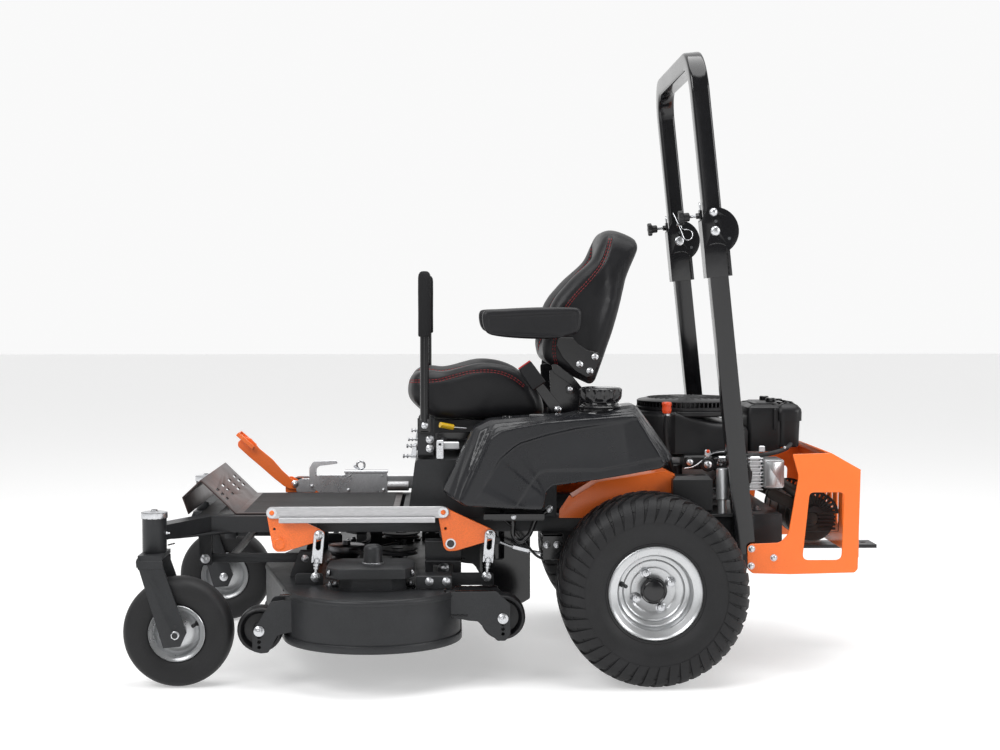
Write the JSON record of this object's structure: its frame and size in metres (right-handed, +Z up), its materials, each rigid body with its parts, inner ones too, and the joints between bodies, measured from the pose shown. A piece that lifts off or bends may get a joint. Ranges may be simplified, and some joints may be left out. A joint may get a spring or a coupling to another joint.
{
  "type": "zero turn mower",
  "caption": "Ride-on zero turn mower with a three-blade suspended deck, rear engine, high-back seat, twin steering levers and a folding roll bar",
  "frame": {"origin": "on the ground, at the bottom centre of the bounding box; the machine mid-plane is at Y = -0.100 because the discharge chute stands out on the right", "axes": "+X rearward, +Y to the machine's right, +Z up"},
  "size_m": [2.124, 1.5494, 1.7149],
  "materials": {
    "charcoal_powder_coat": "fine textured powder coat, charcoal black, satin",
    "dark_steel_sheen": "dark brown-grey coated plate with a soft metallic sheen",
    "orange_powder_coat": "bright orange smooth powder coat, semi-gloss",
    "gloss_black_paint": "gloss black paint",
    "black_plastic": "rotomoulded black plastic, finely pebbled",
    "engine_aluminium": "die-cast aluminium, satin",
    "dark_exhaust": "heat-darkened steel",
    "cast_grey": "cast case, painted grey",
    "zinc": "bright zinc plate",
    "blade_steel": "ground spring steel, oiled",
    "silver_rim_paint": "silver wheel paint",
    "tyre_rubber": "black tyre rubber, matt",
    "black_rubber": "moulded black rubber",
    "seat_vinyl": "black grained vinyl with dark red double stitching",
    "grip_foam": "black closed-cell foam over a black tube"
  },
  "bodies": {
    "chassis": {"main_frame": "charcoal_powder_coat", "seat_pedestal": "charcoal_powder_coat", "floor_pan": "dark_steel_sheen", "fuel_tank": "black_plastic", "side_console": "black_plastic", "blower_housing": "black_plastic", "air_cleaner": "black_plastic", "engine_block": "engine_aluminium", "muffler": "dark_exhaust", "twin_transaxle": "cast_grey", "rear_guard": "orange_powder_coat", "height_selector": "zinc", "fender_left": "orange_powder_coat", "rops_post_left": "gloss_black_paint", "fender_right": "orange_powder_coat", "rops_post_right": "gloss_black_paint"},
    "drive_wheel_left": {"drive_rim_left": "silver_rim_paint", "drive_tyre_left": "tyre_rubber"},
    "caster_fork_left": {"caster_fork_left": "charcoal_powder_coat"},
    "caster_wheel_left": {"caster_rim_left": "silver_rim_paint", "caster_tyre_left": "tyre_rubber"},
    "drive_wheel_right": {"drive_rim_right": "silver_rim_paint", "drive_tyre_right": "tyre_rubber"},
    "caster_fork_right": {"caster_fork_right": "charcoal_powder_coat"},
    "caster_wheel_right": {"caster_rim_right": "silver_rim_paint", "caster_tyre_right": "tyre_rubber"},
    "rops_hoop": {"rops_hoop": "gloss_black_paint"},
    "rops_lock_pin_left": {"rops_lock_pin_left": "zinc"},
    "rops_lock_pin_right": {"rops_lock_pin_right": "zinc"},
    "seat_base": {"seat_base": "charcoal_powder_coat"},
    "seat_cushion": {"seat_cushion": "seat_vinyl"},
    "seat_backrest": {"seat_backrest": "seat_vinyl"},
    "armrest_left": {"armrest_left": "seat_vinyl"},
    "armrest_right": {"armrest_right": "seat_vinyl"},
    "fuel_cap": {"fuel_cap": "black_plastic"},
    "lever_pivot_left": {"lever_pivot_left": "charcoal_powder_coat"},
    "control_lever_left": {"control_lever_left": "grip_foam"},
    "lever_pivot_right": {"lever_pivot_right": "charcoal_powder_coat"},
    "control_lever_right": {"control_lever_right": "grip_foam"},
    "deck": {"deck_shell": "charcoal_powder_coat", "belt_cover_left": "charcoal_powder_coat", "belt_cover_right": "charcoal_powder_coat"},
    "front_lift_shaft": {"front_lift_shaft": "orange_powder_coat"},
    "rear_lift_shaft": {"rear_lift_shaft": "orange_powder_coat"},
    "lift_bar_left": {"lift_bar_left": "zinc"},
    "lift_bar_right": {"lift_bar_right": "zinc"},
    "lift_pedal": {"lift_pedal": "orange_powder_coat"},
    "deck_stabilizer": {"deck_stabilizer": "charcoal_powder_coat"},
    "hanger_link_front_left": {"hanger_link_front_left": "zinc"},
    "hanger_link_front_right": {"hanger_link_front_right": "zinc"},
    "hanger_link_rear_left": {"hanger_link_rear_left": "zinc"},
    "hanger_link_rear_right": {"hanger_link_rear_right": "zinc"},
    "anti_scalp_wheel_front_left": {"anti_scalp_wheel_front_left": "black_rubber"},
    "anti_scalp_wheel_front_right": {"anti_scalp_wheel_front_right": "black_rubber"},
    "anti_scalp_wheel_rear_left": {"anti_scalp_wheel_rear_left": "black_rubber"},
    "anti_scalp_wheel_rear_right": {"anti_scalp_wheel_rear_right": "black_rubber"},
    "blade_spindle_center": {"blade_spindle_center": "blade_steel"},
    "blade_spindle_left": {"blade_spindle_left": "blade_steel"},
    "blade_spindle_right": {"blade_spindle_right": "blade_steel"},
    "discharge_chute": {"discharge_chute": "black_rubber"}
  },
  "joints": [
    {"name": "drive_wheel_left_spin", "type": "hinge", "parent": "chassis", "child": "drive_wheel_left", "pos_m": [0.346, -0.57, 0.254], "axis": [0, 1, 0], "continuous": true},
    {"name": "caster_left_swivel", "type": "hinge", "parent": "chassis", "child": "caster_fork_left", "pos_m": [-0.979, -0.581, 0.4], "axis": [0, 0, 1], "continuous": true},
    {"name": "caster_left_spin", "type": "hinge", "parent": "caster_fork_left", "child": "caster_wheel_left", "pos_m": [-0.916, -0.581, 0.146], "axis": [0, 1, 0], "continuous": true},
    {"name": "drive_wheel_right_spin", "type": "hinge", "parent": "chassis", "child": "drive_wheel_right", "pos_m": [0.346, 0.37, 0.254], "axis": [0, 1, 0], "continuous": true},
    {"name": "caster_right_swivel", "type": "hinge", "parent": "chassis", "child": "caster_fork_right", "pos_m": [-0.979, 0.381, 0.4], "axis": [0, 0, 1], "continuous": true},
    {"name": "caster_right_spin", "type": "hinge", "parent": "caster_fork_right", "child": "caster_wheel_right", "pos_m": [-0.916, 0.381, 0.146], "axis": [0, 1, 0], "continuous": true},
    {"name": "rops_fold", "type": "hinge", "parent": "chassis", "child": "rops_hoop", "pos_m": [0.526, -0.1, 1.213], "axis": [0, 1, 0], "range_deg": [0, 115]},
    {"name": "rops_lock_pin_left_pull", "type": "slide", "parent": "chassis", "child": "rops_lock_pin_left", "axis": [0, -1, 0], "range_m": [0, 0.012]},
    {"name": "rops_lock_pin_right_pull", "type": "slide", "parent": "chassis", "child": "rops_lock_pin_right", "axis": [0, 1, 0], "range_m": [0, 0.012]},
    {"name": "seat_tilt", "type": "hinge", "parent": "chassis", "child": "seat_base", "pos_m": [-0.29, -0.1, 0.6], "axis": [0, -1, 0], "range_deg": [0, 60]},
    {"name": "seat_slide", "type": "slide", "parent": "seat_base", "child": "seat_cushion", "axis": [1, 0, 0], "range_m": [-0.07, 0.07]},
    {"name": "seat_recline", "type": "hinge", "parent": "seat_cushion", "child": "seat_backrest", "pos_m": [0.128, -0.1, 0.735], "axis": [0, 1, 0], "range_deg": [-8, 15]},
    {"name": "armrest_left_lift", "type": "hinge", "parent": "seat_backrest", "child": "armrest_left", "pos_m": [0.138, -0.375, 0.96], "axis": [0, 1, 0], "range_deg": [0, 100]},
    {"name": "armrest_right_lift", "type": "hinge", "parent": "seat_backrest", "child": "armrest_right", "pos_m": [0.138, 0.175, 0.96], "axis": [0, 1, 0], "range_deg": [0, 100]},
    {"name": "fuel_cap_turn", "type": "hinge", "parent": "chassis", "child": "fuel_cap", "pos_m": [0.212, -0.52, 0.77], "axis": [0, 0, 1], "continuous": true},
    {"name": "lever_left_drive", "type": "hinge", "parent": "chassis", "child": "lever_pivot_left", "pos_m": [-0.262, -0.406, 0.608], "axis": [0, 1, 0], "range_deg": [-18, 14], "stiffness_Nm_per_rad": 40},
    {"name": "lever_left_swing_out", "type": "hinge", "parent": "lever_pivot_left", "child": "control_lever_left", "pos_m": [-0.264, -0.4132, 0.662], "axis": [1, 0, 0], "range_deg": [0, 35]},
    {"name": "lever_right_drive", "type": "hinge", "parent": "chassis", "child": "lever_pivot_right", "pos_m": [-0.262, 0.206, 0.608], "axis": [0, 1, 0], "range_deg": [-18, 14], "stiffness_Nm_per_rad": 40},
    {"name": "lever_right_swing_out", "type": "hinge", "parent": "lever_pivot_right", "child": "control_lever_right", "pos_m": [-0.264, 0.2132, 0.662], "axis": [-1, 0, 0], "range_deg": [0, 35]},
    {"name": "deck_lift", "type": "slide", "parent": "chassis", "child": "deck", "axis": [0, 0, 1], "range_m": [-0.088, 0]},
    {"name": "front_lift_turn", "type": "hinge", "parent": "chassis", "child": "front_lift_shaft", "pos_m": [-0.655, -0.1, 0.366], "axis": [0, 1, 0], "range_deg": [0, 49]},
    {"name": "rear_lift_turn", "type": "hinge", "parent": "chassis", "child": "rear_lift_shaft", "pos_m": [-0.193, -0.1, 0.366], "axis": [0, 1, 0], "range_deg": [0, 49]},
    {"name": "lift_bar_left_level", "type": "hinge", "parent": "rear_lift_shaft", "child": "lift_bar_left", "pos_m": [-0.213, -0.517, 0.452], "axis": [0, 1, 0], "range_deg": [-49, 0]},
    {"name": "lift_bar_right_level", "type": "hinge", "parent": "rear_lift_shaft", "child": "lift_bar_right", "pos_m": [-0.213, 0.317, 0.452], "axis": [0, 1, 0], "range_deg": [-49, 0]},
    {"name": "lift_pedal_swing", "type": "hinge", "parent": "chassis", "child": "lift_pedal", "pos_m": [-0.675, 0.18, 0.457], "axis": [0, 1, 0], "range_deg": [0, 41]},
    {"name": "stabilizer_swing", "type": "hinge", "parent": "chassis", "child": "deck_stabilizer", "pos_m": [-0.873, -0.1, 0.309], "axis": [0, 1, 0], "range_deg": [0, 19]},
    {"name": "hanger_front_left_sway", "type": "hinge", "parent": "deck", "child": "hanger_link_front_left", "pos_m": [-0.558, -0.517, 0.277], "axis": [0, 1, 0], "range_deg": [-9.5, 0]},
    {"name": "hanger_front_right_sway", "type": "hinge", "parent": "deck", "child": "hanger_link_front_right", "pos_m": [-0.558, 0.317, 0.277], "axis": [0, 1, 0], "range_deg": [-9.5, 0]},
    {"name": "hanger_rear_left_sway", "type": "hinge", "parent": "deck", "child": "hanger_link_rear_left", "pos_m": [-0.096, -0.517, 0.277], "axis": [0, 1, 0], "range_deg": [-9.5, 0]},
    {"name": "hanger_rear_right_sway", "type": "hinge", "parent": "deck", "child": "hanger_link_rear_right", "pos_m": [-0.096, 0.317, 0.277], "axis": [0, 1, 0], "range_deg": [-9.5, 0]},
    {"name": "anti_scalp_front_left_spin", "type": "hinge", "parent": "deck", "child": "anti_scalp_wheel_front_left", "pos_m": [-0.697, -0.6, 0.155], "axis": [0, 1, 0], "continuous": true},
    {"name": "anti_scalp_front_right_spin", "type": "hinge", "parent": "deck", "child": "anti_scalp_wheel_front_right", "pos_m": [-0.697, 0.4, 0.155], "axis": [0, 1, 0], "continuous": true},
    {"name": "anti_scalp_rear_left_spin", "type": "hinge", "parent": "deck", "child": "anti_scalp_wheel_rear_left", "pos_m": [-0.055, -0.6, 0.185], "axis": [0, 1, 0], "continuous": true},
    {"name": "anti_scalp_rear_right_spin", "type": "hinge", "parent": "deck", "child": "anti_scalp_wheel_rear_right", "pos_m": [-0.055, 0.4, 0.185], "axis": [0, 1, 0], "continuous": true},
    {"name": "blade_center_spin", "type": "hinge", "parent": "deck", "child": "blade_spindle_center", "pos_m": [-0.5, -0.1, 0.2], "axis": [0, 0, 1], "continuous": true},
    {"name": "blade_left_spin", "type": "hinge", "parent": "deck", "child": "blade_spindle_left", "pos_m": [-0.402, -0.54, 0.2], "axis": [0, 0, 1], "continuous": true},
    {"name": "blade_right_spin", "type": "hinge", "parent": "deck", "child": "blade_spindle_right", "pos_m": [-0.402, 0.34, 0.2], "axis": [0, 0, 1], "continuous": true},
    {"name": "chute_flip", "type": "hinge", "parent": "deck", "child": "discharge_chute", "pos_m": [-0.445, 0.579, 0.258], "axis": [1, 0, 0], "range_deg": [0, 80]}
  ],
  "couplings": [
    {"joint": "front_lift_turn", "follows": "deck_lift", "rad_per_m": -9.58},
    {"joint": "rear_lift_turn", "follows": "deck_lift", "rad_per_m": -9.58},
    {"joint": "lift_bar_left_level", "follows": "deck_lift", "rad_per_m": 9.58},
    {"joint": "lift_bar_right_level", "follows": "deck_lift", "rad_per_m": 9.58},
    {"joint": "lift_pedal_swing", "follows": "deck_lift", "rad_per_m": -8},
    {"joint": "stabilizer_swing", "follows": "deck_lift", "rad_per_m": -3.69},
    {"joint": "hanger_front_left_sway", "follows": "deck_lift", "rad_per_m": 1.81},
    {"joint": "hanger_front_right_sway", "follows": "deck_lift", "rad_per_m": 1.81},
    {"joint": "hanger_rear_left_sway", "follows": "deck_lift", "rad_per_m": 1.81},
    {"joint": "hanger_rear_right_sway", "follows": "deck_lift", "rad_per_m": 1.81},
    {"joint": "blade_left_spin", "follows": "blade_center_spin", "ratio": 1},
    {"joint": "blade_right_spin", "follows": "blade_center_spin", "ratio": 1}
  ]
}
